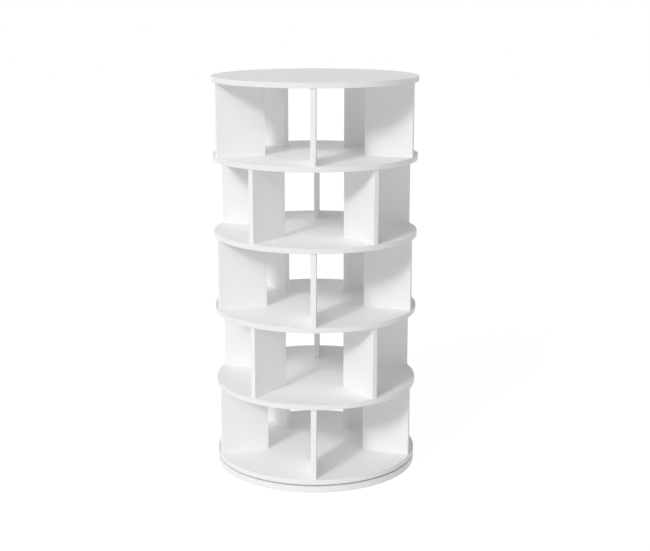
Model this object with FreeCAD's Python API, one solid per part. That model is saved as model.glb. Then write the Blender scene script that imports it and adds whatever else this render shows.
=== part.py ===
import FreeCAD, Part
import math
import os

# Rotating shoe tower: five tiers of radial dividers between round boards, turning as one piece on a
# round base board. Lengths are millimetres and azimuths are degrees. The origin is the middle of the
# footprint on the floor, +Z is up and -Y is the front. Azimuth 0 is the front, positive towards +X.

# ---------------------------------------------------------------- driving dimensions

# boards and dividers
tower_diameter = 600.0
tier_count = 5
dividers_per_tier = 5
tier_clear_height = 210.0
shelf_thickness = 15.0
divider_thickness = 15.0
divider_width = 142.5
divider_setback = 4.5
base_thickness = 19.0
turning_gap = 5.0

# edge bands
band_thickness = 1.0
band_rounding = 0.6
band_seam_width = 0.2
band_seam_azimuth = 180.0

# floor pads
pad_count = 6
pad_diameter = 40.0
pad_thickness = 2.0
pad_inset = 45.0

# turntable bearing
bearing_inner_radius = 108.0
race_sheet = 1.5
race_side_gap = 1.0
race_hook_overlap = 3.0
race_rim_width = 4.0
pocket_clearance = 0.5
ball_diameter = 5.5
ball_count = 24
ball_groove_depth = 0.35
ball_clearance = 0.1
cage_width = 14.0
cage_thickness = 1.2
cage_side_gap = 7.0
cage_ball_clearance = 0.2

# screws of the two races
race_screw_count = 6
race_screw_cage_gap = 3.0
race_screw_diameter = 4.0
race_screw_length = 12.0
race_screw_head_diameter = 8.0
race_screw_head_height = 2.0
upper_race_screw_azimuth = 30.0
access_hole_diameter = 12.0
access_hole_azimuth = 15.0

# cam fittings at the top of each divider
fitting_inset = 37.0
cam_drop = 24.0
cam_diameter = 15.0
wall_behind_cam = 2.5
cam_bolt_thread_diameter = 5.0
wall_over_cam_bolt = 3.5
cam_bolt_shank_diameter = 7.0
cam_bolt_neck_diameter = 4.0
cam_bolt_head_diameter = 7.0
cam_bolt_head_height = 2.5
cam_cap_diameter = 17.0
cam_cap_thickness = 1.2
cam_cap_stud_diameter = 1.2
cam_cap_stud_length = 1.5

# dowels at the top and bottom of each divider
dowel_diameter = 8.0
dowel_length = 30.0
wall_over_dowel = 4.5
dowel_chamfer = 1.0

# shelf screws, driven up through a shelf into the dividers on it
shelf_screw_length = 50.0
shelf_screw_head_diameter = 10.0
shelf_screw_head_rim = 1.0
shelf_screw_shank_diameter = 7.0
shelf_screw_core_diameter = 5.0
shelf_screw_tip = 3.0
hex_socket_size = 4.0
hex_socket_depth = 2.2

# cross recesses of the race screws and the cams
cross_recess_width = 1.4
race_screw_recess_span = 4.6
race_screw_recess_depth = 1.2
cam_recess_span = 6.0
cam_recess_depth = 2.0

# fits
bore_clearance = 0.1
bore_end_clearance = 0.5
cam_head_clearance = 0.3

# ---------------------------------------------------------------- derived sizes

tower_radius = tower_diameter / 2
board_radius = tower_radius - band_thickness
divider_outer_radius = tower_radius - divider_setback
divider_inner_radius = divider_outer_radius - divider_width
divider_core_inner = divider_inner_radius + band_thickness
divider_core_outer = divider_outer_radius - band_thickness
divider_side = divider_thickness / 2

base_bottom = pad_thickness
base_top = base_bottom + base_thickness
bottom_shelf_bottom = base_top + turning_gap
tier_pitch = tier_clear_height + shelf_thickness

band_edge_radius = min(band_rounding, 0.8 * band_thickness)

groove_span = ball_diameter + 2 * ball_clearance
bearing_height = groove_span + 2 * (race_sheet - ball_groove_depth)
pocket_depth = bearing_height - turning_gap
pocket_floor = base_top - pocket_depth
bearing_middle = pocket_floor + bearing_height / 2
lower_race_top = pocket_floor + race_sheet
upper_race_bottom = bottom_shelf_bottom - race_sheet
race_hook_gap = (bearing_height - 4 * race_sheet) / 3

lower_collar_outer = bearing_inner_radius + race_sheet
lower_hook_outer = lower_collar_outer + race_side_gap + race_hook_overlap
upper_hook_inner = lower_collar_outer + race_side_gap
upper_collar_inner = lower_hook_outer + race_side_gap
upper_collar_outer = upper_collar_inner + race_sheet
ball_circle_radius = upper_collar_outer + cage_side_gap + cage_width / 2
race_screw_circle_radius = (ball_circle_radius + cage_width / 2 + race_screw_cage_gap
                            + race_screw_head_diameter / 2)
bearing_outer_radius = race_screw_circle_radius + race_screw_head_diameter / 2 + race_rim_width

fitting_radii = (divider_inner_radius + fitting_inset, divider_outer_radius - fitting_inset)
dowel_radius_from_axis = (divider_inner_radius + divider_outer_radius) / 2
dowel_depth_in_shelf = shelf_thickness - wall_over_dowel - bore_end_clearance
cam_height = tier_clear_height - cam_drop
cam_radius = cam_diameter / 2 - bore_clearance
cam_depth = divider_thickness - wall_behind_cam - bore_end_clearance
cam_bolt_thread_length = shelf_thickness - wall_over_cam_bolt - bore_end_clearance

azimuth_step = 360.0 / dividers_per_tier


def tier_floor(tier):
    """Height of the floor of a tier; tier 0 is the lowest."""
    return bottom_shelf_bottom + shelf_thickness + tier * tier_pitch


def tier_azimuths(tier):
    """Azimuths of the dividers of a tier; every second tier is turned by half a step."""
    first = azimuth_step / 2 if tier % 2 else 0.0
    azimuths = [first + step * azimuth_step for step in range(dividers_per_tier)]
    return [azimuth - 360.0 if azimuth > 180.0 else azimuth for azimuth in azimuths]


def fitting_side(azimuth):
    """Side of a divider that takes its cams, away from the front: +1 faces growing azimuth."""
    return 1 if azimuth > 0 else -1


# ---------------------------------------------------------------- shape helpers

UP = FreeCAD.Vector(0, 0, 1)
ORIGIN = FreeCAD.Vector(0, 0, 0)


def disc(radius, height, bottom):
    return Part.makeCylinder(radius, height, FreeCAD.Vector(0, 0, bottom))


def ring(outer, inner, height, bottom):
    return disc(outer, height, bottom).cut(disc(inner, height, bottom))


def upright(radius, height, x, bottom):
    """Upright cylinder on the local X axis."""
    return Part.makeCylinder(radius, height, FreeCAD.Vector(x, 0, bottom))


def block(x_low, x_high, y_low, y_high, z_low, z_high):
    corner = FreeCAD.Vector(x_low, y_low, z_low)
    return Part.makeBox(x_high - x_low, y_high - y_low, z_high - z_low, corner)


def turned(profile, x=0.0):
    """Solid of revolution about an upright axis at x, from (radius, height) points."""
    points = [FreeCAD.Vector(x + radius, 0, height) for radius, height in profile]
    face = Part.Face(Part.makePolygon(points + points[:1]))
    return face.revolve(FreeCAD.Vector(x, 0, 0), UP, 360)


def at(shape, azimuth, lift=0.0):
    """Copy of a shape made along local +X, turned to an azimuth and lifted."""
    placed = shape.copy()
    placed.rotate(ORIGIN, UP, azimuth - 90.0)
    placed.translate(FreeCAD.Vector(0, 0, lift))
    return placed


def around(shape, count, first_azimuth=0.0):
    return [at(shape, first_azimuth + step * 360.0 / count) for step in range(count)]


def drilled(shape, cutters):
    return shape.cut(Part.makeCompound(cutters)) if cutters else shape


def cross_recess(span, depth, top):
    """Cutter for a cross recess on the Z axis that opens upwards at the given height."""
    arm = cross_recess_width / 2
    first = block(-span / 2, span / 2, -arm, arm, top - depth, top)
    second = block(-arm, arm, -span / 2, span / 2, top - depth, top)
    return first.fuse(second)


# ---------------------------------------------------------------- round boards and their edge bands

def board_band(bottom, height):
    """Edge band of a round board: a thin ring with rounded outer edges and one butt joint."""
    band = ring(tower_radius, board_radius, height, bottom)
    outer_edges = [edge for edge in band.Edges
                   if isinstance(edge.Curve, Part.Circle) and abs(edge.Curve.Radius - tower_radius) < 1e-6]
    band = band.makeFillet(band_edge_radius, outer_edges)
    half_seam = band_seam_width / 2
    seam = block(board_radius - band_thickness, tower_radius + band_thickness,
                 -half_seam, half_seam, bottom, bottom + height)
    return band.cut(at(seam, band_seam_azimuth))


def holes_for_dividers_above(azimuths, floor):
    """Through holes for the shelf screws and blind holes for the dowels, below dividers on this floor."""
    dowel_hole_depth = dowel_depth_in_shelf + bore_end_clearance
    holes = shelf_screw_holes(floor)
    holes.append(upright(dowel_diameter / 2 + bore_clearance, dowel_hole_depth,
                         dowel_radius_from_axis, floor - dowel_hole_depth))
    return [at(hole, azimuth) for azimuth in azimuths for hole in holes]


def holes_for_dividers_below(azimuths, ceiling):
    """Blind holes for the cam bolts and the dowels, above dividers that reach this ceiling."""
    thread_hole_depth = cam_bolt_thread_length + bore_end_clearance
    holes = [upright(cam_bolt_thread_diameter / 2 + bore_clearance, thread_hole_depth, radius, ceiling)
             for radius in fitting_radii]
    holes.append(upright(dowel_diameter / 2 + bore_clearance, dowel_depth_in_shelf + bore_end_clearance,
                         dowel_radius_from_axis, ceiling))
    return [at(hole, azimuth) for azimuth in azimuths for hole in holes]


def race_screw_holes(head_plane, direction):
    """Pilot holes below (-1) or above (+1) a race, seen from the plane under the screw heads."""
    depth = race_screw_length + bore_end_clearance
    bottom = head_plane if direction > 0 else head_plane - depth
    hole = upright(race_screw_diameter / 2 + bore_clearance, depth, race_screw_circle_radius, bottom)
    first = upper_race_screw_azimuth if direction > 0 else 0.0
    return around(hole, race_screw_count, first)


def access_hole(bottom, top):
    hole = upright(access_hole_diameter / 2, top - bottom, race_screw_circle_radius, bottom)
    return at(hole, access_hole_azimuth)


def base_board():
    board = disc(board_radius, base_thickness, base_bottom)
    pocket = disc(bearing_outer_radius + pocket_clearance, pocket_depth, pocket_floor)
    cutters = race_screw_holes(lower_race_top, -1) + [access_hole(base_bottom, pocket_floor)]
    return drilled(board.cut(pocket), cutters)


def round_board(board_number):
    """Board 0 is the bottom shelf, board tier_count is the top board."""
    floor = tier_floor(board_number)
    ceiling = floor - shelf_thickness
    cutters = []
    if board_number < tier_count:
        cutters += holes_for_dividers_above(tier_azimuths(board_number), floor)
    if board_number > 0:
        cutters += holes_for_dividers_below(tier_azimuths(board_number - 1), ceiling)
    if board_number == 0:
        cutters += race_screw_holes(upper_race_bottom, 1)
    return drilled(disc(board_radius, shelf_thickness, ceiling), cutters)


# ---------------------------------------------------------------- dividers and their edge bands

def divider_core(side):
    """Divider board along local +X, standing on height 0, with its cam pockets on the given side."""
    core = block(divider_core_inner, divider_core_outer, -divider_side, divider_side, 0, tier_clear_height)
    cutters = []
    for radius in fitting_radii:
        cutters.append(cam_cylinder(cam_diameter / 2, cam_depth + bore_end_clearance, radius, side))
        cutters.append(upright(cam_bolt_shank_diameter / 2 + bore_clearance, cam_drop, radius, cam_height))
        cutters.append(upright(shelf_screw_core_diameter / 2 + bore_clearance,
                               shelf_screw_length - shelf_thickness + bore_end_clearance, radius, 0))
    dowel_bore = dowel_diameter / 2 + bore_clearance
    dowel_bore_depth = dowel_length - dowel_depth_in_shelf + bore_end_clearance
    for bottom in (0, tier_clear_height - dowel_bore_depth):
        cutters.append(upright(dowel_bore, dowel_bore_depth, dowel_radius_from_axis, bottom))
    return drilled(core, cutters)


def divider_band(outer):
    """Edge band of a divider's outer or inner end, with its two show edges rounded."""
    low = divider_core_outer if outer else divider_inner_radius
    show_plane = divider_outer_radius if outer else divider_inner_radius
    band = block(low, low + band_thickness, -divider_side, divider_side, 0, tier_clear_height)
    show_edges = [edge for edge in band.Edges
                  if abs(edge.BoundBox.ZLength - tier_clear_height) < 1e-3
                  and abs(edge.BoundBox.XMin - show_plane) < 1e-3]
    return band.makeFillet(band_edge_radius, show_edges)


# ---------------------------------------------------------------- cam fittings, dowels and shelf screws

def cam_cylinder(radius, depth, x, side):
    """Cylinder at a cam's place, from the divider's face on the given side into the board."""
    start = FreeCAD.Vector(x, side * divider_side, cam_height)
    return Part.makeCylinder(radius, depth, start, FreeCAD.Vector(0, -side, 0))


def cam_nut(x, side):
    """Zinc cam: it grips the bolt's head in a pocket, under a narrower slot for the neck."""
    cam = cam_cylinder(cam_radius, cam_depth, x, side)
    head_pocket_half = cam_bolt_head_height / 2 + cam_head_clearance
    head_pocket = upright(cam_bolt_head_diameter / 2 + cam_head_clearance, 2 * head_pocket_half,
                          x, cam_height - head_pocket_half)
    neck_slot = upright(cam_bolt_neck_diameter / 2 + cam_head_clearance, cam_radius, x, cam_height)
    recess = cross_recess(cam_recess_span, cam_recess_depth, 0.0)
    recess.rotate(ORIGIN, FreeCAD.Vector(1, 0, 0), -90.0 * side)
    recess.translate(FreeCAD.Vector(x, side * divider_side, cam_height))
    return drilled(cam, [head_pocket, neck_slot, recess])


def cam_bolt(x):
    """Steel bolt: thread in the shelf above, shank in the divider, neck and head in the cam."""
    thread = cam_bolt_thread_diameter / 2
    shank = cam_bolt_shank_diameter / 2
    neck = cam_bolt_neck_diameter / 2
    head = cam_bolt_head_diameter / 2
    thread_top = tier_clear_height + cam_bolt_thread_length
    neck_top = cam_height + cam_diameter / 2 + cam_head_clearance
    head_top = cam_height + cam_bolt_head_height / 2
    head_bottom = cam_height - cam_bolt_head_height / 2
    return turned([(0, thread_top), (thread, thread_top), (thread, tier_clear_height),
                   (shank, tier_clear_height), (shank, neck_top), (neck, neck_top),
                   (neck, head_top), (head, head_top), (head, head_bottom), (0, head_bottom)], x)


def cam_cap(x, side):
    """White cover on a cam, held by a stud in the cam's cross recess."""
    outward = FreeCAD.Vector(0, side, 0)
    face = FreeCAD.Vector(x, side * divider_side, cam_height)
    plate = Part.makeCylinder(cam_cap_diameter / 2, cam_cap_thickness, face, outward)
    rim = [edge for edge in plate.Edges if abs(edge.BoundBox.Center.y) > divider_side + cam_cap_thickness / 2
           and isinstance(edge.Curve, Part.Circle)]
    plate = plate.makeFillet(cam_cap_thickness / 2, rim)
    stud = Part.makeCylinder(cam_cap_stud_diameter / 2, cam_cap_stud_length, face, outward.negative())
    return plate.fuse(stud)


def dowel(bottom):
    """Beech dowel with chamfered ends."""
    radius = dowel_diameter / 2
    top = bottom + dowel_length
    return turned([(0, bottom), (radius - dowel_chamfer, bottom), (radius, bottom + dowel_chamfer),
                   (radius, top - dowel_chamfer), (radius - dowel_chamfer, top), (0, top)],
                  dowel_radius_from_axis)


def shelf_screw_profile(floor, clearance):
    """Outline of a shelf screw's head and shank, down to its face in the shelf's underside."""
    underside = floor - shelf_thickness
    head = shelf_screw_head_diameter / 2 + clearance
    shank = shelf_screw_shank_diameter / 2 + clearance
    cone_top = underside + shelf_screw_head_rim + head - shank
    return [(0, underside), (head, underside), (head, underside + shelf_screw_head_rim), (shank, cone_top)]


def shelf_screw_holes(floor):
    """Countersunk through holes in the shelf, one per fitting place."""
    shank = shelf_screw_shank_diameter / 2 + bore_clearance
    outline = shelf_screw_profile(floor, bore_clearance) + [(shank, floor), (0, floor)]
    return [turned(outline, radius) for radius in fitting_radii]


def shelf_screw(x):
    """Confirmat screw: countersunk head, shank in the shelf, thread in the divider as its core."""
    shank = shelf_screw_shank_diameter / 2
    core = shelf_screw_core_diameter / 2
    tip = shelf_screw_length - shelf_thickness
    shank_end = -bore_end_clearance
    outline = shelf_screw_profile(0.0, 0.0)
    outline += [(shank, shank_end), (core, shank_end), (core, tip - shelf_screw_tip), (0, tip)]
    hex_radius = hex_socket_size / math.sqrt(3)
    corners = [FreeCAD.Vector(x + hex_radius * math.cos(math.radians(60 * step)),
                              hex_radius * math.sin(math.radians(60 * step)), -shelf_thickness)
               for step in range(6)]
    socket = Part.Face(Part.makePolygon(corners + corners[:1])).extrude(UP * hex_socket_depth)
    return turned(outline, x).cut(socket)


# ---------------------------------------------------------------- turntable bearing

def ball_groove():
    return Part.makeTorus(ball_circle_radius, groove_span / 2, FreeCAD.Vector(0, 0, bearing_middle))


def lower_race():
    """Steel ring on the base board, with a collar and a hook that keep the upper race down."""
    hook_top = upper_race_bottom - race_hook_gap
    plate = ring(bearing_outer_radius, bearing_inner_radius, race_sheet, pocket_floor)
    collar = ring(lower_collar_outer, bearing_inner_radius, hook_top - pocket_floor, pocket_floor)
    hook = ring(lower_hook_outer, bearing_inner_radius, race_sheet, hook_top - race_sheet)
    race = plate.fuse([collar, hook]).removeSplitter().cut(ball_groove())
    holes = race_screw_holes(lower_race_top, -1)
    return drilled(race, holes + [access_hole(pocket_floor, lower_race_top)])


def upper_race():
    """Steel ring under the bottom shelf, hooked under the lower race's hook."""
    hook_bottom = lower_race_top + race_hook_gap
    plate = ring(bearing_outer_radius, upper_collar_inner, race_sheet, upper_race_bottom)
    collar = ring(upper_collar_outer, upper_collar_inner, bottom_shelf_bottom - hook_bottom, hook_bottom)
    hook = ring(upper_collar_outer, upper_hook_inner, race_sheet, hook_bottom)
    race = plate.fuse([collar, hook]).removeSplitter().cut(ball_groove())
    return drilled(race, race_screw_holes(upper_race_bottom, 1))


def race_screw(direction):
    """Pan-head screw at its place: it points down (-1) into the base or up (+1) into the bottom shelf."""
    shank = race_screw_diameter / 2
    head = race_screw_head_diameter / 2
    head_edge = race_screw_head_height / 2
    outline = [(0, -race_screw_length), (shank, -race_screw_length + shank), (shank, 0), (head, 0),
               (head, head_edge), (head - head_edge, race_screw_head_height), (0, race_screw_head_height)]
    screw = turned(outline)
    screw = screw.cut(cross_recess(race_screw_recess_span, race_screw_recess_depth, race_screw_head_height))
    plane = lower_race_top if direction < 0 else upper_race_bottom
    if direction > 0:
        screw.rotate(ORIGIN, FreeCAD.Vector(1, 0, 0), 180.0)
    screw.translate(FreeCAD.Vector(race_screw_circle_radius, 0, plane))
    return screw


def bearing_balls():
    ball = Part.makeSphere(ball_diameter / 2, FreeCAD.Vector(ball_circle_radius, 0, bearing_middle))
    return Part.makeCompound(around(ball, ball_count))


def ball_cage():
    """Flat ring between the races, with a hole for each ball."""
    bottom = bearing_middle - cage_thickness / 2
    plate = ring(ball_circle_radius + cage_width / 2, ball_circle_radius - cage_width / 2,
                 cage_thickness, bottom)
    hole = upright(ball_diameter / 2 + cage_ball_clearance, cage_thickness, ball_circle_radius, bottom)
    return drilled(plate, around(hole, ball_count))


# ---------------------------------------------------------------- the assembly

def board_name(board_number):
    if board_number == 0:
        return "bottom_shelf"
    if board_number == tier_count:
        return "top_board"
    return f"shelf_{board_number}"


def build():
    nodes = {}

    # the base, which stays still
    pad = upright(pad_diameter / 2, pad_thickness, tower_radius - pad_inset, 0)
    nodes["floor_pads"] = Part.makeCompound(around(pad, pad_count))
    nodes["base_board"] = base_board()
    nodes["base_edge_band"] = board_band(base_bottom, base_thickness)

    # the turntable bearing
    nodes["bearing_lower_race"] = lower_race()
    nodes["lower_race_screws"] = Part.makeCompound(around(race_screw(-1), race_screw_count))
    nodes["bearing_balls"] = bearing_balls()
    nodes["bearing_ball_cage"] = ball_cage()
    nodes["bearing_upper_race"] = upper_race()
    nodes["upper_race_screws"] = Part.makeCompound(
        around(race_screw(1), race_screw_count, upper_race_screw_azimuth))

    # the round boards of the tower
    for board_number in range(tier_count + 1):
        name = board_name(board_number)
        nodes[name] = round_board(board_number)
        nodes[name + "_edge_band"] = board_band(tier_floor(board_number) - shelf_thickness, shelf_thickness)

    # the dividers, with all that joins them to the boards
    cores = {side: divider_core(side) for side in (-1, 1)}
    bands = {outer: divider_band(outer) for outer in (True, False)}
    bolts = [cam_bolt(radius) for radius in fitting_radii]
    screws = [shelf_screw(radius) for radius in fitting_radii]
    dowels = [dowel(-dowel_depth_in_shelf), dowel(tier_clear_height + dowel_depth_in_shelf - dowel_length)]
    nuts = {side: [cam_nut(radius, side) for radius in fitting_radii] for side in (-1, 1)}
    caps = {side: [cam_cap(radius, side) for radius in fitting_radii] for side in (-1, 1)}
    groups = {"divider_outer_bands": [], "divider_inner_bands": [], "cam_bolts": [], "cam_nuts": [],
              "cam_caps": [], "dowels": [], "shelf_screws": []}
    for tier in range(tier_count):
        floor = tier_floor(tier)
        for letter, azimuth in zip("abcdefghij", tier_azimuths(tier)):
            side = fitting_side(azimuth)
            nodes[f"tier_{tier + 1}_divider_{letter}"] = at(cores[side], azimuth, floor)
            groups["divider_outer_bands"].append(at(bands[True], azimuth, floor))
            groups["divider_inner_bands"].append(at(bands[False], azimuth, floor))
            groups["cam_bolts"] += [at(bolt, azimuth, floor) for bolt in bolts]
            groups["cam_nuts"] += [at(nut, azimuth, floor) for nut in nuts[side]]
            groups["cam_caps"] += [at(cap, azimuth, floor) for cap in caps[side]]
            groups["dowels"] += [at(pin, azimuth, floor) for pin in dowels]
            groups["shelf_screws"] += [at(screw, azimuth, floor) for screw in screws]
    for name, solids in groups.items():
        nodes[name] = Part.makeCompound(solids)
    return nodes


os.makedirs("parts", exist_ok=True)
for node_name, node_shape in build().items():
    node_shape.exportStep(f"parts/{node_name}.step")
    print(f"{node_name}: {len(node_shape.Solids)} solids, {node_shape.Volume / 1000:.1f} cm3, "
          f"valid {node_shape.isValid()}")
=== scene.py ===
import math

import bmesh
import bpy
from mathutils import Matrix


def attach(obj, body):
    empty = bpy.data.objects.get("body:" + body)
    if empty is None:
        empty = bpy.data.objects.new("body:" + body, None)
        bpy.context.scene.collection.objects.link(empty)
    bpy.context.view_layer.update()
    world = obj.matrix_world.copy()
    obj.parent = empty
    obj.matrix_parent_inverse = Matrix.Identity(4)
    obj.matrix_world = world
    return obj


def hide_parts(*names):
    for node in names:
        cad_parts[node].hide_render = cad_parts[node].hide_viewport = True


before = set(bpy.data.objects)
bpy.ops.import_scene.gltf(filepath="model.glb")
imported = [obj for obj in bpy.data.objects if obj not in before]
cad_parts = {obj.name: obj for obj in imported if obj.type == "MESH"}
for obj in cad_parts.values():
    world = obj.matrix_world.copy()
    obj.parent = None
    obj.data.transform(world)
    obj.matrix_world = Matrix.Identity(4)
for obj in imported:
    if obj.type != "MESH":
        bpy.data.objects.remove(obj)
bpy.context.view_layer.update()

# ---------------------------------------------------------------- the studio
# The floor is plain white, lit from below as a light table is, and runs out to a white surround.
# A lamp and a wide screen round it stand in front on the left, and weak screens fill in from the
# other sides. The floor keeps a shadow.

scene = bpy.context.scene
scene.view_settings.view_transform = "Standard"

surround_white = (1, 1, 1, 1)
surround_level = 0.18


def add(tree, kind, inputs=(), **settings):
    """Adds one node with its own settings. Its inputs are values or sockets, by place or name."""
    node = tree.nodes.new(kind)
    for key, value in settings.items():
        setattr(node, key, value)
    for key, value in (inputs.items() if isinstance(inputs, dict) else enumerate(inputs)):
        if isinstance(value, bpy.types.NodeSocket):
            tree.links.new(value, node.inputs[key])
        elif value is not None:
            node.inputs[key].default_value = value
    return node


def maths(tree, operation, *values):
    """One sum on values or sockets."""
    return add(tree, "ShaderNodeMath", values, operation=operation).outputs[0]


def emptied_tree(owner):
    """Gives a world or a material a node tree with nothing in it."""
    owner.use_nodes = True
    owner.node_tree.nodes.clear()
    return owner.node_tree


def lit_and_seen(tree, lighting, seen):
    """Lights the tower by one shader and shows another, straight, in a mirror or through glass."""
    path = add(tree, "ShaderNodeLightPath").outputs
    mirrored = maths(tree, "MAXIMUM", path["Is Glossy Ray"], path["Is Transmission Ray"])
    direct = maths(tree, "MAXIMUM", path["Is Camera Ray"], mirrored)
    return add(tree, "ShaderNodeMixShader",
               [direct, lighting.outputs[0], seen.outputs[0]]).outputs[0]


surround = bpy.data.worlds.new("studio_surround")
tree = emptied_tree(surround)
lighting = add(tree, "ShaderNodeBackground", {"Color": surround_white, "Strength": surround_level})
seen = add(tree, "ShaderNodeBackground", {"Color": surround_white, "Strength": 1.0})
add(tree, "ShaderNodeOutputWorld", {"Surface": lit_and_seen(tree, lighting, seen)})
scene.world = surround

# Each lamp's name, its azimuth from the front, its elevation and its width as seen from the tower,
# all in degrees, and how bright white paint that faces it gets.
lamps = (("key_lamp", -30.9, 29.6, 9.5, 0.330),
         ("key_screen", -33.0, 40.0, 40.0, 0.265),
         ("left_screen", -108.0, 25.0, 30.0, 0.140),
         ("rear_screen", -150.0, 10.0, 20.0, 0.105),
         ("right_screen", 45.0, 25.0, 70.0, 0.155))

for name, azimuth, elevation, spread, level in lamps:
    lamp = bpy.data.lights.new(name, "SUN")
    lamp.energy = level * math.pi
    lamp.angle = math.radians(spread)
    stand = bpy.data.objects.new(name, lamp)
    stand.rotation_euler = (math.radians(90.0 - elevation), 0, math.radians(azimuth))
    scene.collection.objects.link(stand)

camera_film_width = 36.0
camera_focal_length = 68.239
camera_place = (0.0782, -3.5948, 1.411)
camera_tilt_down = 13.144
camera_turn_left = 0.795

camera_body = bpy.data.cameras.new("camera")
camera_body.sensor_width = camera_film_width
camera_body.lens = camera_focal_length
camera = bpy.data.objects.new("camera", camera_body)
camera.location = camera_place
camera.rotation_euler = (math.radians(90.0 - camera_tilt_down), 0, math.radians(camera_turn_left))
scene.collection.objects.link(camera)
scene.camera = camera

floor_half_width = 14.0
floor_tone = 0.2
floor_glow = 0.538
floor_seen_tone = 0.16
floor_seen_glow = 0.925


def glowing_paint(tree, tone, glow):
    """Matt grey paint with a white glow of its own."""
    matt = add(tree, "ShaderNodeBsdfDiffuse", {"Color": (tone, tone, tone, 1)})
    light = add(tree, "ShaderNodeEmission", {"Strength": glow})
    return add(tree, "ShaderNodeAddShader", [matt.outputs[0], light.outputs[0]])


floor_mesh = bpy.data.meshes.new("studio_floor")
floor_mesh.from_pydata([(x * floor_half_width, y * floor_half_width, 0)
                        for x, y in ((-1, -1), (1, -1), (1, 1), (-1, 1))], [], [(0, 1, 2, 3)])
floor = bpy.data.objects.new("studio_floor", floor_mesh)
scene.collection.objects.link(floor)
floor_paint = bpy.data.materials.new("studio_floor_paint")
tree = emptied_tree(floor_paint)
lighting = glowing_paint(tree, floor_tone, floor_glow)
seen = glowing_paint(tree, floor_seen_tone, floor_seen_glow)
add(tree, "ShaderNodeOutputMaterial", {"Surface": lit_and_seen(tree, lighting, seen)})
floor_mesh.materials.append(floor_paint)

# ---------------------------------------------------------------- floor pads
# Six round pads of dense grey felt, punched from sheet and stuck under the base board near its
# rim. They level the tower and let it slide without marking the floor.

pad_count = 6
pad_radius = 0.020
pad_thickness = 0.002
pad_edge_softness = 0.0005
pad_edge_bevel = 0.3 * pad_edge_softness
pad_side_height = pad_thickness - pad_edge_softness - pad_edge_bevel
pad_circle_radius = 0.255
pad_sides = 72
pad_nap_depth = 0.00012
pad_nap_scale = 900.0
pad_nap_seed = 3
felt_dark = (0.20, 0.20, 0.195)
felt_pale = (0.34, 0.34, 0.33)
round_sides = 24
same_spot = 1e-7


def point_at(reach, angle):
    """The point at that distance and angle from the middle."""
    return reach * math.cos(angle), reach * math.sin(angle)


def round_outline(radius, sides=round_sides):
    """Points of a circle, or a single point where the radius is 0."""
    if radius == 0:
        return [(0.0, 0.0)]
    return [point_at(radius, math.tau * side / sides) for side in range(sides)]


def round_outlines(profile, sides=round_sides):
    """Outlines of a round shape from its profile of (radius, height) points."""
    return [(round_outline(radius, sides), height) for radius, height in profile]


def stack(shape, outlines):
    """Skins a bmesh over outlines, given as (points, height) from one end to the other."""
    rings = [[shape.verts.new((x, y, height)) for x, y in points] for points, height in outlines]
    sides = max(len(ring) for ring in rings)
    for lower, upper in zip(rings, rings[1:]):
        for side in range(sides):
            after = (side + 1) % sides
            corners = [lower[side % len(lower)], lower[after % len(lower)],
                       upper[after % len(upper)], upper[side % len(upper)]]
            shape.faces.new(dict.fromkeys(corners))  # at a pole two corners are the same


def finished_mesh(shape, name, sharp_above=35.0):
    """Closes a bmesh's seams, turns its faces outwards and makes it a mesh with crisp edges."""
    bmesh.ops.remove_doubles(shape, verts=shape.verts, dist=same_spot)
    bmesh.ops.recalc_face_normals(shape, faces=shape.faces)
    mesh = bpy.data.meshes.new(name)
    shape.to_mesh(mesh)
    shape.free()
    mesh.shade_smooth()
    mesh.set_sharp_from_angle(angle=math.radians(sharp_above))
    return mesh


def empty_tree(name, inputs):
    """A geometry tree with named inputs and one output; gives the tree and its inputs' sockets."""
    tree = bpy.data.node_groups.new(name, "GeometryNodeTree")
    for label, kind in inputs.items():
        tree.interface.new_socket(label, in_out="INPUT", socket_type="NodeSocket" + kind)
    tree.interface.new_socket("Pieces", in_out="OUTPUT", socket_type="NodeSocketGeometry")
    return tree, tree.nodes.new("NodeGroupInput").outputs


def copies_round_the_axis(tree, piece, count, radius, azimuth, height=0.0, about_face=0.0):
    """Copies a piece to that many spots round the axis and turns each copy outwards.

    Azimuths start at the front, -Y, and run to the right, in degrees. about_face turns a copy
    further on its own spot.
    """
    outward = maths(tree, "RADIANS", maths(tree, "SUBTRACT", azimuth, 90.0))
    spot = add(tree, "ShaderNodeCombineXYZ", [
        maths(tree, "MULTIPLY", radius, maths(tree, "COSINE", outward)),
        maths(tree, "MULTIPLY", radius, maths(tree, "SINE", outward)), height])
    spots = add(tree, "GeometryNodePoints", {"Count": count, "Position": spot.outputs[0]})
    turn = maths(tree, "ADD", outward, maths(tree, "RADIANS", about_face))
    facing = add(tree, "ShaderNodeCombineXYZ", {"Z": turn})
    copies = add(tree, "GeometryNodeInstanceOnPoints", {
        "Points": spots.outputs[0], "Instance": piece, "Rotation": facing.outputs[0]})
    return add(tree, "GeometryNodeRealizeInstances", [copies.outputs[0]]).outputs[0]


def end_dressed(tree, pieces, material):
    """Ends a tree: gives its pieces their finish and puts them out."""
    dressed = add(tree, "GeometryNodeSetMaterial", {"Geometry": pieces, "Material": material})
    add(tree, "NodeGroupOutput", [dressed.outputs[0]])
    return tree


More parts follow.
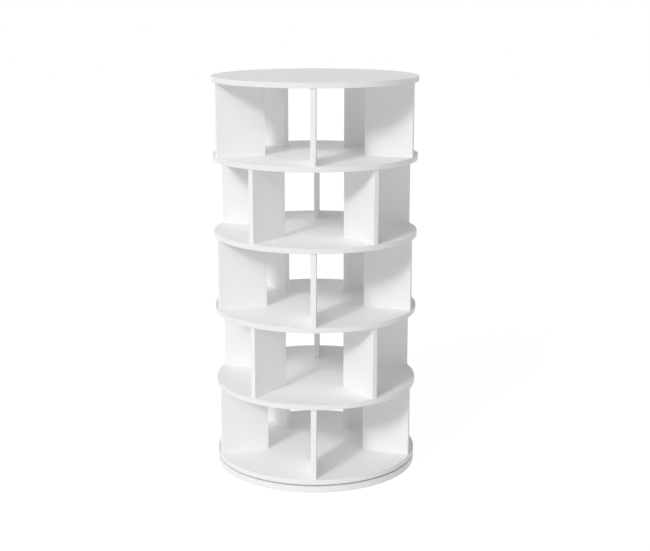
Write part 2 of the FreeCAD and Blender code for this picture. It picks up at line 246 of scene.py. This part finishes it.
def pieces_on_a_circle():
    """Tree: copies of one piece on a circle round the axis, with a nap that roughens soft stuff."""
    tree, given = empty_tree("pieces_on_a_circle", {
        "Piece": "Geometry", "Count": "Int", "Circle radius": "Float", "First azimuth": "Float",
        "Nap depth": "Float", "Nap scale": "Float", "Nap seed": "Int", "Material": "Material"})
    step = maths(tree, "DIVIDE", 360.0, given["Count"])
    number = add(tree, "GeometryNodeInputIndex").outputs[0]
    azimuth = maths(tree, "MULTIPLY_ADD", number, step, given["First azimuth"])
    solid = copies_round_the_axis(
        tree, given["Piece"], given["Count"], given["Circle radius"], azimuth)
    fibres = add(tree, "ShaderNodeTexNoise", {"W": given["Nap seed"], "Scale": given["Nap scale"]},
                 noise_dimensions="4D")
    inwards = maths(tree, "MULTIPLY", given["Nap depth"], -1.0)
    worn_off = add(tree, "ShaderNodeVectorMath", {
        0: add(tree, "GeometryNodeInputNormal").outputs[0],
        "Scale": maths(tree, "MULTIPLY", fibres.outputs[0], inwards)}, operation="SCALE")
    napped = add(tree, "GeometryNodeSetPosition", {
        "Geometry": solid, "Offset": worn_off.outputs[0]})
    return end_dressed(tree, napped.outputs[0], given["Material"])


def made_by(tree, name, piece, sizes):
    """Runs a tree on one piece's mesh and gives a plain object of all its copies."""
    piece.materials.append(sizes["Material"])
    start = bpy.data.objects.new(name + "_start", piece)
    scene.collection.objects.link(start)
    maker = start.modifiers.new("maker", "NODES")
    maker.node_group = tree
    for socket in tree.interface.items_tree:
        if socket.in_out == "INPUT" and socket.name in sizes:
            maker[socket.identifier] = sizes[socket.name]
    evaluated = start.evaluated_get(bpy.context.evaluated_depsgraph_get())
    whole = bpy.data.meshes.new_from_object(evaluated)
    bpy.data.objects.remove(start)
    whole.name = name
    made = bpy.data.objects.new(name, whole)
    scene.collection.objects.link(made)
    return made


def finish(name, **fixed):
    """A new material, its tree and its shader. What is the same all over is set here."""
    material = bpy.data.materials.new(name)
    material.use_nodes = True
    shader = material.node_tree.nodes["Principled BSDF"]
    for socket, value in fixed.items():
        shader.inputs[socket.replace("_", " ")].default_value = value
    return material, material.node_tree, shader


def vary(tree, shader, **sources):
    """Links what differs from spot to spot to the shader's sockets."""
    for socket, source in sources.items():
        tree.links.new(source, shader.inputs[socket.replace("_", " ")])


def position(tree):
    """Where a point is, in the tower's own frame."""
    return add(tree, "ShaderNodeTexCoord").outputs["Object"]


def noise(tree, scale, stretch=(1, 1, 1), detail=2.0, where=None):
    """Noise over the piece, in cells per metre; a stretch below 1 draws it out along that axis."""
    drawn = add(tree, "ShaderNodeMapping", {"Vector": where or position(tree), "Scale": stretch})
    return add(tree, "ShaderNodeTexNoise", {
        "Vector": drawn.outputs[0], "Scale": scale, "Detail": detail}).outputs[0]


def mixed_colours(tree, share, first, second, blend="MIX"):
    """Goes from the first colour to the second as the share goes from 0 to 1."""
    first, second = (colour + (1,) if isinstance(colour, tuple) else colour
                     for colour in (first, second))
    return add(tree, "ShaderNodeMix", {"Factor": share, "A": first, "B": second},
               data_type="RGBA", blend_type=blend).outputs["Result"]


def graded(tree, amount, low, high, start=0.3, end=0.7):
    """Turns an amount that runs from start to end into a value, or a colour, from low to high."""
    span = {"Value": amount, "From Min": start, "From Max": end}
    if isinstance(low, tuple):
        return mixed_colours(tree, add(tree, "ShaderNodeMapRange", span).outputs[0], low, high)
    return add(tree, "ShaderNodeMapRange", {**span, "To Min": low, "To Max": high}).outputs[0]


def relief(tree, shader, height, depth):
    """Fine relief of that depth in metres under the finish."""
    bump = add(tree, "ShaderNodeBump", {"Height": height, "Distance": depth, "Strength": 1.0})
    tree.links.new(bump.outputs[0], shader.inputs["Normal"])


pad_profile = [(0, 0), (0.5 * pad_radius, 0), (0.8 * pad_radius, 0),
               (pad_radius - pad_edge_softness, 0), (pad_radius - pad_edge_bevel, pad_edge_bevel)]
pad_profile += [(pad_radius, pad_edge_softness + share * pad_side_height)
                for share in (0, 0.33, 0.67, 1)]
pad_profile += [(pad_radius - pad_edge_bevel, pad_thickness), (0, pad_thickness)]
shape = bmesh.new()
stack(shape, round_outlines(pad_profile, pad_sides))

felt, tree, shader = finish("grey_felt", Roughness=0.95, Sheen_Weight=0.25, Sheen_Roughness=0.6)
fibres = noise(tree, 2600, stretch=(1, 1, 2.5), detail=4)
clumps = noise(tree, 420, detail=3)
vary(tree, shader, Base_Color=graded(tree, fibres, felt_dark, felt_pale))
relief(tree, shader, maths(tree, "ADD", fibres, clumps), depth=0.00025)

on_a_circle = pieces_on_a_circle()
pads = made_by(on_a_circle, "felt_pads", finished_mesh(shape, "felt_pad"), {
    "Count": pad_count, "Circle radius": pad_circle_radius, "First azimuth": 0.0,
    "Nap depth": pad_nap_depth, "Nap scale": pad_nap_scale, "Nap seed": pad_nap_seed,
    "Material": felt})
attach(pads, "base")
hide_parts("floor_pads")

# ---------------------------------------------------------------- base board
# A round board of chipboard with white melamine pressed on both faces, cut to a circle. The
# pocket for the turntable bearing is routed into its top, and bare chips show in the pocket and in
# every bore.

base_bottom = 0.002
base_thickness = 0.019
white = 0.93
cloudy_white = 0.992 * white
face_thickness = 0.00012
chip_dark = (0.33, 0.21, 0.115)
chip_pale = (0.60, 0.45, 0.29)
chip_roughness = 0.9
gap_shade = 0.62
chips_per_metre = 650.0
chips_lie_flat = (1, 1, 2.2)


def grey(tone):
    """A colour with no hue."""
    return tone, tone, tone


def chipboard_colour(tree):
    """Pressed wood chips, lying flat, in pale browns, darker in the gaps between them."""
    flat = add(tree, "ShaderNodeMapping", {"Vector": position(tree), "Scale": chips_lie_flat})
    chips = add(tree, "ShaderNodeTexVoronoi", {"Vector": flat.outputs[0], "Scale": chips_per_metre})
    tone = add(tree, "ShaderNodeSeparateColor", [chips.outputs["Color"]]).outputs[0]
    chip = graded(tree, tone, chip_dark, chip_pale, 0.0, 1.0)
    shade = graded(tree, chips.outputs["Distance"], 1.0, gap_shade, 0.25, 0.75)
    gaps = add(tree, "ShaderNodeCombineColor", [shade, shade, shade]).outputs[0]
    return mixed_colours(tree, 1.0, chip, gaps, blend="MULTIPLY")


def melamine(name, faces_apart, centred):
    """White melamine, fine-pearled and satin, on a board whose faces are so far apart.

    centred builds the distance from the board's middle plane. Nearer to it than the faces, chips
    show.
    """
    material, tree, shader = finish(name, Specular_IOR_Level=0.3)
    inside = maths(tree, "LESS_THAN", centred(tree), faces_apart / 2 - face_thickness)
    pressed = graded(tree, noise(tree, 9), grey(cloudy_white), grey(white))
    satin = graded(tree, noise(tree, 35), 0.46, 0.54)
    rough = add(tree, "ShaderNodeMix", {"Factor": inside, "A": satin, "B": chip_roughness})
    vary(tree, shader, Base_Color=mixed_colours(tree, inside, pressed, chipboard_colour(tree)),
         Roughness=rough.outputs["Result"])
    relief(tree, shader, noise(tree, 1100, detail=1), depth=0.00002)
    return material


def height_above(tree, bottom):
    """Height of a point over that level."""
    height = add(tree, "ShaderNodeSeparateXYZ", [position(tree)]).outputs["Z"]
    return maths(tree, "SUBTRACT", height, bottom)


def dress(node_name, material):
    """Gives a part of the frame its finish."""
    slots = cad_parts[node_name].data.materials
    slots.clear()
    slots.append(material)


dress("base_board", melamine("white_melamine_base", base_thickness, lambda tree: maths(
    tree, "ABSOLUTE", height_above(tree, base_bottom + base_thickness / 2))))

# ---------------------------------------------------------------- round edge bands
# White plastic band 1 mm thick, glued round each of the seven round boards and butted at the back.
# Its tone is painted shade: darker than the same plastic on the dividers, to darken the rims.
# Its two outer edges are scraped round, and the glue leaves a hairline where it meets the board.

board_radius = 0.299
# painted shade: the round bands' white is set darker than the dividers' bands to darken the rims
round_band_painted_shade_white = 0.888
glue_line = 0.00007
glue_grey = 0.60
band_dull_share = 0.997
band_bright_share = 1.004
round_boards = ("base", "bottom_shelf", "shelf_1", "shelf_2", "shelf_3", "shelf_4", "top_board")


def edge_band(name, tone, glued):
    """Plastic band in that tone of white; glued builds 1 on the glue line and 0 elsewhere."""
    material, tree, shader = finish(name, Specular_IOR_Level=0.4)
    plastic = graded(tree, noise(tree, 12),
                     grey(tone * band_dull_share), grey(tone * band_bright_share))
    vary(tree, shader, Base_Color=mixed_colours(tree, glued(tree), plastic, grey(glue_grey)),
         Roughness=graded(tree, noise(tree, 60), 0.34, 0.42))
    relief(tree, shader, noise(tree, 1400, detail=1), depth=0.000012)
    return material


def from_the_axis(tree):
    """Distance of a point from the tower's axis."""
    level = add(tree, "ShaderNodeVectorMath", [position(tree), (1, 1, 0)], operation="MULTIPLY")
    length = add(tree, "ShaderNodeVectorMath", [level.outputs[0]], operation="LENGTH")
    return length.outputs["Value"]


round_band = edge_band("white_band_round_painted_shade", round_band_painted_shade_white, lambda tree: maths(
    tree, "LESS_THAN", from_the_axis(tree), board_radius + glue_line))
for board in round_boards:
    dress(board + "_edge_band", round_band)

# ---------------------------------------------------------------- turntable bearing
# Two rings of pressed steel sheet, zinc-plated, hooked into each other so that the tower can't
# lift off. Between them 24 hard steel balls run in a flat nylon cage, at half the tower's speed.

race_middle_radius = 0.13
along_the_race = (0.02, 1, 1)
zinc_dark = (0.56, 0.575, 0.60)
zinc_pale = (0.66, 0.665, 0.66)
ball_dark = (0.62, 0.62, 0.63)
ball_pale = (0.68, 0.68, 0.69)
nylon_dark = (0.70, 0.68, 0.60)
nylon_pale = (0.76, 0.74, 0.67)

zinc_sheet, tree, shader = finish("zinc_plated_sheet", Metallic=1.0)
place = add(tree, "ShaderNodeSeparateXYZ", [position(tree)]).outputs
angle = maths(tree, "ARCTAN2", place["Y"], place["X"])
unrolled = add(tree, "ShaderNodeCombineXYZ", [
    maths(tree, "MULTIPLY", angle, race_middle_radius), from_the_axis(tree), place["Z"]]).outputs[0]
drawing_marks = noise(tree, 3000, stretch=along_the_race, detail=3, where=unrolled)
vary(tree, shader, Base_Color=graded(tree, noise(tree, 45, detail=3), zinc_dark, zinc_pale),
     Roughness=graded(tree, drawing_marks, 0.26, 0.42))
relief(tree, shader, drawing_marks, depth=0.000006)
dress("bearing_lower_race", zinc_sheet)
dress("bearing_upper_race", zinc_sheet)

ball_steel, tree, shader = finish("polished_ball_steel", Metallic=1.0)
haze = noise(tree, 700)
vary(tree, shader, Base_Color=graded(tree, haze, ball_dark, ball_pale),
     Roughness=graded(tree, haze, 0.05, 0.10))
dress("bearing_balls", ball_steel)

nylon, tree, shader = finish("natural_nylon", Roughness=0.42, Subsurface_Weight=0.15,
                             Subsurface_Scale=0.002)
vary(tree, shader, Base_Color=graded(tree, noise(tree, 70, detail=3), nylon_dark, nylon_pale))
relief(tree, shader, noise(tree, 1500), depth=0.00001)
dress("bearing_ball_cage", nylon)

# ---------------------------------------------------------------- screws of the two races
# Six zinc-plated pan-head screws per race, 4 x 12 mm, with a cross recess. The lower six hold the
# ring in the base board's pocket, and the upper six hold the other ring under the bottom shelf.

race_screw_count = 6
race_screw_circle_radius = 0.144
race_screw_length = 0.012
race_thread_radius = 0.002
race_core_radius = 0.0014
race_point_radius = 0.0002
race_thread_pitch = 0.0014
pan_head_radius = 0.004
pan_head_height = 0.0020
race_recess_floor = 0.0008
race_recess_span = 0.0046
race_recess_arm = 0.0014
race_recess_floor_span = 0.0030
race_recess_floor_arm = 0.8 * race_recess_arm
lower_race_top = 0.0195
upper_race_bottom = 0.0245
upper_screws_azimuth = 30.0
plated_dark = (0.54, 0.555, 0.59)
plated_pale = (0.66, 0.665, 0.67)
same_angle = 1e-9

# (radius, height over the seat) from the edge of the recess, over the head, to the core
pan_head_profile = ((0.0026, pan_head_height), (0.0031, 0.0018), (0.0036, 0.00135),
                    (0.0039, 0.0009), (pan_head_radius, 0.0005), (pan_head_radius, 0.0),
                    (race_core_radius, 0.0))

# (share of the pitch, share of the thread's depth) from the foot of a ridge to the end of its crest
thread_ridge = ((0.0, 0.0), (0.42, 0.0), (0.62, 1.0), (0.72, 1.0))


def cross_outline(span, arm):
    """Points of a cross: corner, middle and corner of each arm's end, three between two arms."""
    corner = math.degrees(math.atan2(arm, span))
    points = []
    for quarter in range(4):
        for degrees in (0.0, corner, 30.0, 45.0, 60.0, 90.0 - corner):
            off_arm = min(degrees, 90.0 - degrees)
            if off_arm <= corner + same_angle:
                reach = span / 2 / math.cos(math.radians(off_arm))
            else:
                reach = arm / 2 / math.sin(math.radians(off_arm))
            points.append(point_at(reach, math.radians(degrees + 90.0 * quarter)))
    return points


def cut_thread(shape, core, crest, pitch, low, high, sides=round_sides):
    """Skins one helical ridge on a core between two heights; it runs out at both ends."""
    spare_turns = 3  # the rows below low and above high are pressed flat on the two ends
    turns = math.ceil((high - low) / pitch) + spare_turns
    rows = []
    for turn in range(turns):
        for phase, rise in thread_ridge:
            row = []
            for side in range(sides):
                height = low + pitch * (turn - 1 + phase + side / sides)
                height = min(max(height, low), high)
                run_out = min(1.0, (height - low) / pitch, (high - height) / pitch)
                radius = core + (crest - core) * rise * run_out
                x, y = point_at(radius, math.tau * side / sides)
                row.append(shape.verts.new((x, y, height)))
            rows.append(row)
    for number in range(len(rows) - 1 - len(thread_ridge)):
        for side in range(sides):
            last = side == sides - 1
            after = number + len(thread_ridge) * last  # once round, the ridge is one turn higher
            next_side = 0 if last else side + 1
            shape.faces.new((rows[number][side], rows[after][next_side],
                             rows[after + 1][next_side], rows[number + 1][side]))


def pan_head_screw(downwards):
    """One race screw on the axis, seated in the lower ring, or upside down in the upper ring."""
    tip = -race_screw_length
    thread_end = race_core_radius - race_screw_length
    shape = bmesh.new()
    stack(shape, [
        (round_outline(0), race_recess_floor),
        (cross_outline(race_recess_floor_span, race_recess_floor_arm), race_recess_floor),
        (cross_outline(race_recess_span, race_recess_arm), pan_head_height),
        *round_outlines(pan_head_profile)])
    cut_thread(shape, race_core_radius, race_thread_radius, race_thread_pitch, thread_end, 0.0)
    stack(shape, round_outlines((
        (race_core_radius, thread_end), (race_point_radius, tip), (0, tip))))
    if not downwards:
        shape.transform(Matrix.Rotation(math.pi, 4, "X"))
    seat = lower_race_top if downwards else upper_race_bottom
    shape.transform(Matrix.Translation((0, 0, seat)))
    return finished_mesh(shape, "race_screw")


plated, tree, shader = finish("zinc_plated_steel", Metallic=1.0)
vary(tree, shader, Base_Color=graded(tree, noise(tree, 160, detail=3), plated_dark, plated_pale),
     Roughness=graded(tree, noise(tree, 600), 0.22, 0.34))
relief(tree, shader, noise(tree, 2500), depth=0.000006)

for stays, body, downwards, azimuth in (
        ("lower_race_screws", "base", True, 0.0),
        ("upper_race_screws", "tower", False, upper_screws_azimuth)):
    screws = made_by(on_a_circle, "threaded_" + stays, pan_head_screw(downwards), {
        "Count": race_screw_count, "Circle radius": race_screw_circle_radius,
        "First azimuth": azimuth, "Nap depth": 0.0, "Material": plated})
    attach(screws, body)
    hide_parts(stays)

# ---------------------------------------------------------------- bottom shelf, shelves, top board
# Six round boards of the same white-faced chipboard, 15 mm thick, one under and one over each
# tier. Bores for screws, bolts and dowels start at the faces that the dividers cover.

shelf_bottom = 0.026
shelf_thickness = 0.015
tier_pitch = 0.225


def from_nearest_shelf(tree):
    """Distance from the middle plane of the nearest of the equally spaced boards."""
    in_pitch = maths(tree, "FLOORED_MODULO", height_above(tree, shelf_bottom), tier_pitch)
    return maths(tree, "ABSOLUTE", maths(tree, "SUBTRACT", in_pitch, shelf_thickness / 2))


shelf_melamine = melamine("white_melamine_shelf", shelf_thickness, from_nearest_shelf)
for board in round_boards[1:]:
    dress(board, shelf_melamine)

# ---------------------------------------------------------------- dividers
# 25 upright boards of the same white-faced chipboard, five to a tier, each standing on one shelf
# and carrying the next, with white plastic band on both ends. Every second tier is turned by half
# a step, so the joints of two tiers never meet.

tier_count = 5
dividers_per_tier = 5
divider_thickness = 0.015
divider_inner = 0.153
divider_outer = 0.2955
divider_middle = (divider_inner + divider_outer) / 2
band_thickness = 0.001
half_step = math.pi / dividers_per_tier


def along_and_across(tree):
    """Distances of a point from the tower's axis, along and across the divider that it is on."""
    place = add(tree, "ShaderNodeSeparateXYZ", [position(tree)]).outputs
    azimuth = maths(tree, "ARCTAN2", place["X"], maths(tree, "MULTIPLY", place["Y"], -1.0))
    half_steps = maths(tree, "ROUND", maths(tree, "DIVIDE", azimuth, half_step))
    off = maths(tree, "SUBTRACT", azimuth, maths(tree, "MULTIPLY", half_steps, half_step))
    distance = from_the_axis(tree)
    return (maths(tree, "MULTIPLY", distance, maths(tree, "COSINE", off)),
            maths(tree, "MULTIPLY", distance, maths(tree, "SINE", off)))


def on_divider_glue(tree):
    """1 next to the joint between a divider and its band, at either end."""
    off_middle = maths(tree, "SUBTRACT", along_and_across(tree)[0], divider_middle)
    joint = (divider_outer - divider_inner) / 2 - band_thickness
    return maths(tree, "LESS_THAN", maths(tree, "ABSOLUTE", off_middle), joint + glue_line)


divider_melamine = melamine("white_melamine_divider", divider_thickness, lambda tree: maths(
    tree, "ABSOLUTE", along_and_across(tree)[1]))
for tier in range(1, tier_count + 1):
    for letter in "abcde":
        dress(f"tier_{tier}_divider_{letter}", divider_melamine)

divider_band = edge_band("white_band_divider", white, on_divider_glue)
dress("divider_outer_bands", divider_band)
dress("divider_inner_bands", divider_band)

# ---------------------------------------------------------------- cam fittings
# At the top of each divider two zinc-plated bolts, screwed up into the board above, are pulled
# down by die-cast zinc cams that sit flush in the divider's side. A white plastic cap covers each
# cam.

lowest_floor = 0.041
tier_clear_height = 0.210
fittings_per_divider = 2
inner_fitting = 0.190
fitting_step = 0.0685
cam_height = 0.186
bolt_core_radius = 0.0018
bolt_thread_radius = 0.0025
bolt_thread_pitch = 0.0024
bolt_thread_length = 0.011
bolt_point_radius = 0.0012
bolt_point_length = 0.0008
bolt_shank_radius = 0.0035
bolt_neck_radius = 0.0020
bolt_head_end = 0.18475
bolt_recess_floor = 0.18625
bolt_recess_span, bolt_recess_arm = 0.0040, 0.0012
bolt_recess_floor_span, bolt_recess_floor_arm = 0.0026, 0.0009
cap_radius = 0.0085
cap_thickness = 0.0012
cap_sides = 48
azimuth_slack = 0.01
cast_dark = (0.42, 0.425, 0.43)
cast_pale = (0.56, 0.56, 0.56)
cap_cloudy_white = 0.99 * white

# (radius, height over the tier's floor) from the edge of the recess in the bolt's head up to its
# thread, which starts at the board above
bolt_profile = ((0.0026, bolt_head_end), (0.0031, 0.18490), (0.0034, 0.18535),
                (bolt_shank_radius, 0.18600), (0.0033, 0.18665), (0.0028, 0.18712),
                (bolt_neck_radius, 0.18730), (bolt_neck_radius, 0.19340), (0.0030, 0.19390),
                (bolt_shank_radius, 0.19430), (bolt_shank_radius, 0.20940),
                (0.0033, tier_clear_height), (bolt_core_radius, tier_clear_height))

# (radius, height over the divider's side) from the peg that goes into the cam, round the rim and
# over the pressed ring to the middle
cap_profile = ((0, -0.0015), (0.0004, -0.0015), (0.0006, -0.0012), (0.0006, 0),
               (cap_radius - 0.0001, 0), (cap_radius, 0.0001), (cap_radius, 0.0005),
               (0.00838, 0.00078), (0.0081, 0.0010), (0.0077, 0.00112), (0.0072, 0.00115),
               (0.0069, 0.00105), (0.0067, 0.00105), (0.0064, 0.00115), (0.0040, cap_thickness),
               (0, cap_thickness))


def groups_before(tree, number, size):
    """How many whole groups of that size come before the piece of that number."""
    return maths(tree, "FLOOR", maths(tree, "DIVIDE", maths(tree, "ADD", number, 0.5), size))


def pieces_at_the_dividers():
    """Tree: copies of one piece at every divider of every tier, one or more in line along each.

    The piece is made on the axis, pointing along +X, with height 0 on the tier's floor. Where it
    has a side, that side faces away from the front.
    """
    tree, given = empty_tree("pieces_at_the_dividers", {
        "Piece": "Geometry", "Tiers": "Int", "Dividers per tier": "Int", "Lowest floor": "Float",
        "Tier pitch": "Float", "Pieces in line": "Int", "First radius": "Float",
        "Radius step": "Float", "Has a side": "Bool", "Material": "Material"})
    number = add(tree, "GeometryNodeInputIndex").outputs[0]
    in_line = maths(tree, "FLOORED_MODULO", number, given["Pieces in line"])
    divider = groups_before(tree, number, given["Pieces in line"])
    in_tier = maths(tree, "FLOORED_MODULO", divider, given["Dividers per tier"])
    tier = groups_before(tree, divider, given["Dividers per tier"])
    radius = maths(tree, "MULTIPLY_ADD", in_line, given["Radius step"], given["First radius"])
    height = maths(tree, "MULTIPLY_ADD", tier, given["Tier pitch"], given["Lowest floor"])
    half_turned = maths(tree, "MULTIPLY", maths(tree, "FLOORED_MODULO", tier, 2.0), 0.5)
    step = maths(tree, "DIVIDE", 360.0, given["Dividers per tier"])
    azimuth = maths(tree, "MULTIPLY", maths(tree, "ADD", in_tier, half_turned), step)
    right = maths(tree, "MULTIPLY", maths(tree, "GREATER_THAN", azimuth, azimuth_slack),
                  maths(tree, "LESS_THAN", azimuth, 180.0 + azimuth_slack))
    left = maths(tree, "SUBTRACT", 1.0, right)
    about_face = maths(tree, "MULTIPLY", maths(tree, "MULTIPLY", left, 180.0), given["Has a side"])
    per_tier = maths(tree, "MULTIPLY", given["Dividers per tier"], given["Pieces in line"])
    count = maths(tree, "MULTIPLY", given["Tiers"], per_tier)
    solid = copies_round_the_axis(tree, given["Piece"], count, radius, azimuth, height, about_face)
    return end_dressed(tree, solid, given["Material"])


at_the_dividers = pieces_at_the_dividers()
fitting_places = {
    "Tiers": tier_count, "Dividers per tier": dividers_per_tier, "Lowest floor": lowest_floor,
    "Tier pitch": tier_pitch, "Pieces in line": fittings_per_divider,
    "First radius": inner_fitting, "Radius step": fitting_step, "Has a side": False}


def fit_to_dividers(name, piece, material, stands_for, places=fitting_places):
    """Copies one piece to every divider and puts it on the tower in the frame part's place."""
    whole = made_by(at_the_dividers, name, piece, {**places, "Material": material})
    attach(whole, "tower")
    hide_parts(stands_for)


bolt_end = tier_clear_height + bolt_thread_length
bolt_thread_end = bolt_end - bolt_point_length
shape = bmesh.new()
stack(shape, [
    (round_outline(0), bolt_recess_floor),
    (cross_outline(bolt_recess_floor_span, bolt_recess_floor_arm), bolt_recess_floor),
    (cross_outline(bolt_recess_span, bolt_recess_arm), bolt_head_end),
    *round_outlines(bolt_profile)])
cut_thread(shape, bolt_core_radius, bolt_thread_radius, bolt_thread_pitch,
           tier_clear_height, bolt_thread_end)
stack(shape, round_outlines((
    (bolt_core_radius, bolt_thread_end), (bolt_point_radius, bolt_end), (0, bolt_end))))
fit_to_dividers("threaded_cam_bolts", finished_mesh(shape, "cam_bolt"), plated, "cam_bolts")

cast_zinc, tree, shader = finish("cast_zinc_skin", Metallic=1.0)
skin = noise(tree, 500, detail=4)
vary(tree, shader, Base_Color=graded(tree, skin, cast_dark, cast_pale),
     Roughness=graded(tree, noise(tree, 900), 0.42, 0.60))
relief(tree, shader, skin, depth=0.00003)
dress("cam_nuts", cast_zinc)

cap_plastic, tree, shader = finish("white_cap_plastic")
vary(tree, shader, Base_Color=graded(tree, noise(tree, 90), grey(cap_cloudy_white), grey(white)),
     Roughness=graded(tree, noise(tree, 300), 0.30, 0.38))
relief(tree, shader, noise(tree, 3000), depth=0.000008)
shape = bmesh.new()
stack(shape, round_outlines(cap_profile, cap_sides))
on_the_side = Matrix.Translation((0, divider_thickness / 2, cam_height))
shape.transform(on_the_side @ Matrix.Rotation(-math.pi / 2, 4, "X"))
fit_to_dividers("moulded_cam_caps", finished_mesh(shape, "cam_cap"), cap_plastic, "cam_caps",
                {**fitting_places, "Has a side": True})

# ---------------------------------------------------------------- dowels
# Beech pegs 8 x 30 mm with pressed flutes and chamfered ends, glued into the top and the bottom of
# each divider. They keep it in line while the fittings pull it tight.

dowel_radius = 0.004
dowel_end_radius = 0.0031
dowel_chamfer = 0.001
dowel_length = 0.030
dowel_depth_in_shelf = 0.010
flute_count = 24
flute_depth = 0.00022
along_the_grain = (1, 1, 0.04)
fleck_shape = (1, 0.5, 0.12)
fleck_threshold = 0.66
beech_dark = (0.50, 0.30, 0.145)
beech_pale = (0.66, 0.44, 0.24)
beech_fleck = (0.36, 0.20, 0.09)


def fluted_outline(radius):
    """Points of a circle with shallow flutes; the crests keep the radius."""
    return [point_at(radius - flute_depth * (side % 2), math.pi * side / flute_count)
            for side in range(2 * flute_count)]


beech, tree, shader = finish("beech_wood")
grain = noise(tree, 1500, stretch=along_the_grain, detail=4)
wood = graded(tree, grain, beech_dark, beech_pale)
flecks = maths(tree, "GREATER_THAN", noise(tree, 3200, stretch=fleck_shape, detail=1),
               fleck_threshold)
vary(tree, shader, Base_Color=mixed_colours(tree, flecks, wood, beech_fleck),
     Roughness=graded(tree, grain, 0.55, 0.70))
relief(tree, shader, grain, depth=0.00005)

dowel_end = round_outline(dowel_end_radius, 2 * flute_count)
dowel_side = fluted_outline(dowel_radius)
shape = bmesh.new()
for end in (-dowel_depth_in_shelf, tier_clear_height + dowel_depth_in_shelf - dowel_length):
    top = end + dowel_length
    stack(shape, [(round_outline(0), end), (dowel_end, end), (dowel_side, end + dowel_chamfer),
                  (dowel_side, top - dowel_chamfer), (dowel_end, top), (round_outline(0), top)])
fit_to_dividers("fluted_dowels", finished_mesh(shape, "dowel_pair", sharp_above=30.0), beech,
                "dowels",
                {**fitting_places, "Pieces in line": 1, "First radius": divider_middle})

# ---------------------------------------------------------------- shelf screws
# Zinc-plated one-piece connector screws, 7 x 50 mm with a hexagon socket, driven up through each
# shelf into the bottom edge of the dividers on it. The countersunk heads end flush with the
# shelf's underside.

screw_core_radius = 0.0025
screw_crest_radius = 0.0034
screw_shank_radius = 0.0035
screw_head_radius = 0.005
screw_point_radius = 0.0004
screw_point_length = 0.0030
screw_thread_pitch = 0.0032
screw_thread_start = -0.0005
screw_tip = 0.035
socket_across = 0.0040
socket_mouth_across = 1.06 * socket_across
socket_mouth_top = -0.0149
socket_floor = -0.0128

# (radius, height over the tier's floor) from the edge of the socket, over the head and the shank,
# to the thread
screw_head_profile = ((0.0047, -shelf_thickness), (screw_head_radius, -0.0147),
                      (screw_head_radius, -0.0140), (screw_shank_radius, -0.0125),
                      (screw_shank_radius, -0.0010), (screw_core_radius, screw_thread_start))


def hexagon_outline(across):
    """Points of a hexagon, measured across its flats."""
    points = []
    for side in range(round_sides):
        degrees = 360.0 * side / round_sides
        reach = across / 2 / math.cos(math.radians(degrees % 60.0 - 30.0))
        points.append(point_at(reach, math.radians(degrees)))
    return points


screw_thread_end = screw_tip - screw_point_length
shape = bmesh.new()
stack(shape, [
    (round_outline(0), socket_floor), (hexagon_outline(socket_across), socket_floor),
    (hexagon_outline(socket_across), socket_mouth_top),
    (hexagon_outline(socket_mouth_across), -shelf_thickness), *round_outlines(screw_head_profile)])
cut_thread(shape, screw_core_radius, screw_crest_radius, screw_thread_pitch,
           screw_thread_start, screw_thread_end)
stack(shape, round_outlines((
    (screw_core_radius, screw_thread_end), (screw_point_radius, screw_tip), (0, screw_tip))))
fit_to_dividers("threaded_shelf_screws", finished_mesh(shape, "shelf_screw"), plated,
                "shelf_screws")
